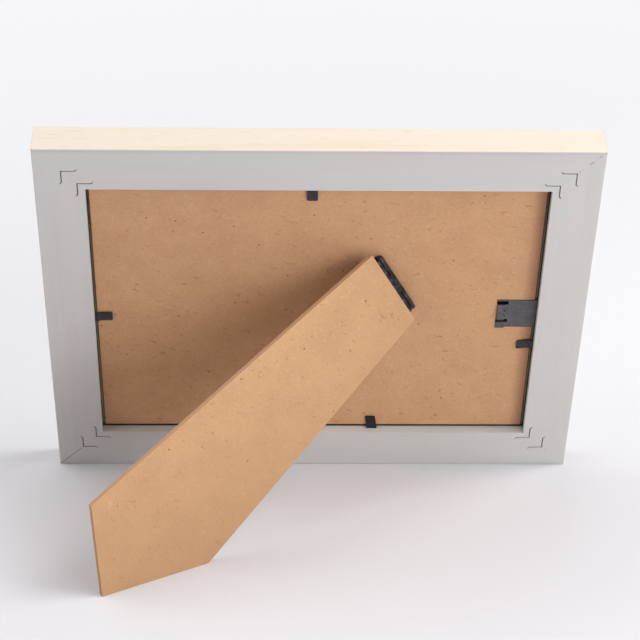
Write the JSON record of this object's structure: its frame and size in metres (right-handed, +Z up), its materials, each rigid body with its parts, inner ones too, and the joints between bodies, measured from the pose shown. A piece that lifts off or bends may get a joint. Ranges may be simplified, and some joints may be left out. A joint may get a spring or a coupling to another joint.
{
  "type": "easel back photo frame",
  "caption": "Wooden photo frame with a hardboard back, bendable retaining tabs, a nail hanger and a folding easel strut with feet for both formats.",
  "frame": {"origin": "on the table under the middle of the bounding box, with the frame standing on its open strut", "axes": "+X along the frame to the picture's right as seen from the front, +Y from the picture's front to the back, +Z up"},
  "size_m": [0.222, 0.1284, 0.1672],
  "materials": {
    "frame_wood": "satin pale wood, back faces painted light grey",
    "hardboard": "matte brown hardboard",
    "strut_board": "matte light brown hardboard",
    "picture_card": "matte white card",
    "glazing": "clear gloss",
    "black_steel": "satin black",
    "tab_steel": "satin black",
    "nail_steel": "dull steel"
  },
  "bodies": {
    "frame": {"top_rail": "frame_wood", "bottom_rail": "frame_wood", "left_rail": "frame_wood", "right_rail": "frame_wood", "top_left_outer_nail": "nail_steel", "top_left_inner_nail": "nail_steel", "top_right_outer_nail": "nail_steel", "top_right_inner_nail": "nail_steel", "bottom_left_outer_nail": "nail_steel", "bottom_left_inner_nail": "nail_steel", "bottom_right_outer_nail": "nail_steel", "bottom_right_inner_nail": "nail_steel", "glazing": "glazing", "picture_card": "picture_card", "backing_board": "hardboard", "hanger_plate": "black_steel", "hinge_board_leaf": "black_steel", "hinge_pin": "black_steel", "top_tab_root": "tab_steel", "bottom_tab_root": "tab_steel", "left_tab_root": "tab_steel", "right_tab_root": "tab_steel"},
    "strut": {"strut": "strut_board", "hinge_strut_leaf": "black_steel"},
    "top_tab": {"top_tab": "tab_steel"},
    "bottom_tab": {"bottom_tab": "tab_steel"},
    "left_tab": {"left_tab": "tab_steel"},
    "right_tab": {"right_tab": "tab_steel"}
  },
  "joints": [
    {"name": "strut_hinge", "type": "hinge", "parent": "frame", "child": "strut", "pos_m": [-0.0325, -0.01958, 0.09821], "axis": [0.4848, 0.2828, 0.8277], "range_deg": [-37.6, 0]},
    {"name": "bottom_tab_bend", "type": "hinge", "parent": "frame", "child": "bottom_tab", "pos_m": [-0.0253, -0.04664, 0.01995], "axis": [-1, 0, 0], "range_deg": [0, 90]},
    {"name": "top_tab_bend", "type": "hinge", "parent": "frame", "child": "top_tab", "pos_m": [0.0025, -0.00409, 0.14448], "axis": [1, 0, 0], "range_deg": [0, 90]},
    {"name": "right_tab_bend", "type": "hinge", "parent": "frame", "child": "right_tab", "pos_m": [0.0908, -0.02617, 0.07985], "axis": [0, -0.3233, -0.9463], "range_deg": [0, 90]},
    {"name": "left_tab_bend", "type": "hinge", "parent": "frame", "child": "left_tab", "pos_m": [-0.0908, -0.03079, 0.06632], "axis": [0, 0.3233, 0.9463], "range_deg": [0, 90]}
  ]
}
